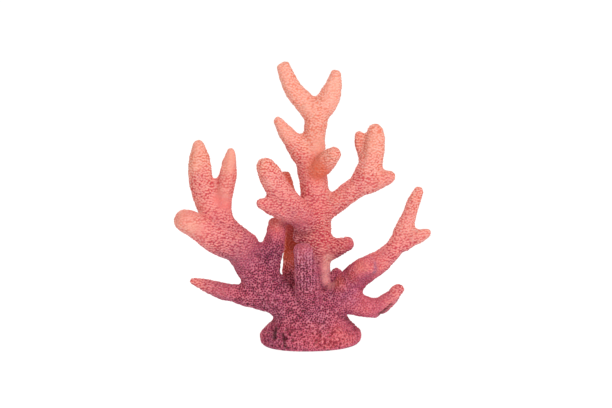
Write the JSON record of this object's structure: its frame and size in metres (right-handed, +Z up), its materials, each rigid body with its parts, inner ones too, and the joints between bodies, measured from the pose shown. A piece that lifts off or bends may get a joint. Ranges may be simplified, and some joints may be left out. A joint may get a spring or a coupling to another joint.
{
  "type": "branching coral",
  "caption": "Branching coral on a flared, flat-bottomed foot: upright forked fingers and low pointed spikes with a pitted surface, salmon at the tips and mauve at the foot.",
  "frame": {"origin": "middle of the foot's flat underside, on the surface that it rests on", "axes": "+Z up, along the coral's height, which is its longest extent; +X to the right and +Y to the back as seen from the front, so the short depth is along Y"},
  "size_m": [0.1334, 0.0487, 0.1489],
  "materials": {
    "coral_mauve": "matt, finely pitted, purple in the pits",
    "coral_rose": "matt, finely pitted",
    "coral_salmon": "matt, finely grained"
  },
  "bodies": {
    "root": {"foot": "coral_mauve", "trunk": "coral_rose", "trunk_spur": "coral_rose", "upper_stem": "coral_salmon", "crown_left": "coral_salmon", "crown_right": "coral_salmon", "side_twig": "coral_salmon", "right_arm": "coral_salmon", "right_finger": "coral_salmon", "leaning_finger": "coral_salmon", "hooked_stub": "coral_rose", "front_stump": "coral_mauve", "left_limb": "coral_rose", "long_finger": "coral_salmon", "short_finger": "coral_salmon", "inner_finger": "coral_mauve", "low_left_spike": "coral_rose", "right_limb": "coral_rose", "right_limb_stub": "coral_salmon", "low_right_spike": "coral_rose", "back_limb": "coral_rose", "rear_stub": "coral_rose"}
  },
  "joints": []
}
